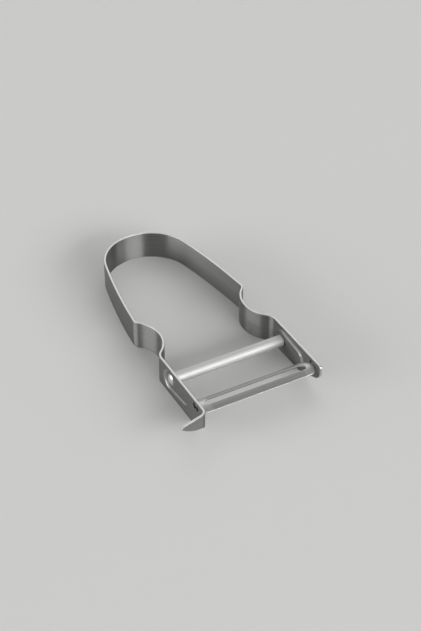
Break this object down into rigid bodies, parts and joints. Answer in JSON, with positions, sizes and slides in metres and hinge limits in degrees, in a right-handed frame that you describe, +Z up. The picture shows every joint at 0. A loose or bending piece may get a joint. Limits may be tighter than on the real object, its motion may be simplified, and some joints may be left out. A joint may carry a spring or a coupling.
{
  "type": "vegetable peeler",
  "caption": "Y-shaped vegetable peeler bent from a flat steel strip into a grip loop, with a crossbar, a swivelling slotted blade and a pointed eye gouge.",
  "frame": {"origin": "under the middle of the peeler's box, on the surface that the strip's lower edge lies on", "axes": "+Y from the blade back to the grip loop, +X to the right with the blade in front, +Z up"},
  "size_m": [0.0656, 0.122, 0.013],
  "materials": {
    "strip_steel": "polished stainless strip with rounded, brighter edges",
    "bar_steel": "bright satin stainless with fine lines along the bar",
    "rivet_steel": "bright polished dome",
    "blade_steel": "satin stainless, ground along the slot's edges"
  },
  "bodies": {
    "frame": {"handle_strip": "strip_steel", "crossbar_tube": "bar_steel", "crossbar_rivet": "rivet_steel"},
    "blade": {"swivel_blade": "blade_steel"}
  },
  "joints": [
    {"name": "blade_swivel", "type": "hinge", "parent": "frame", "child": "blade", "pos_m": [0.00587, -0.05019, 0.0103], "axis": [1, 0, 0], "range_deg": [-30, 30]}
  ]
}
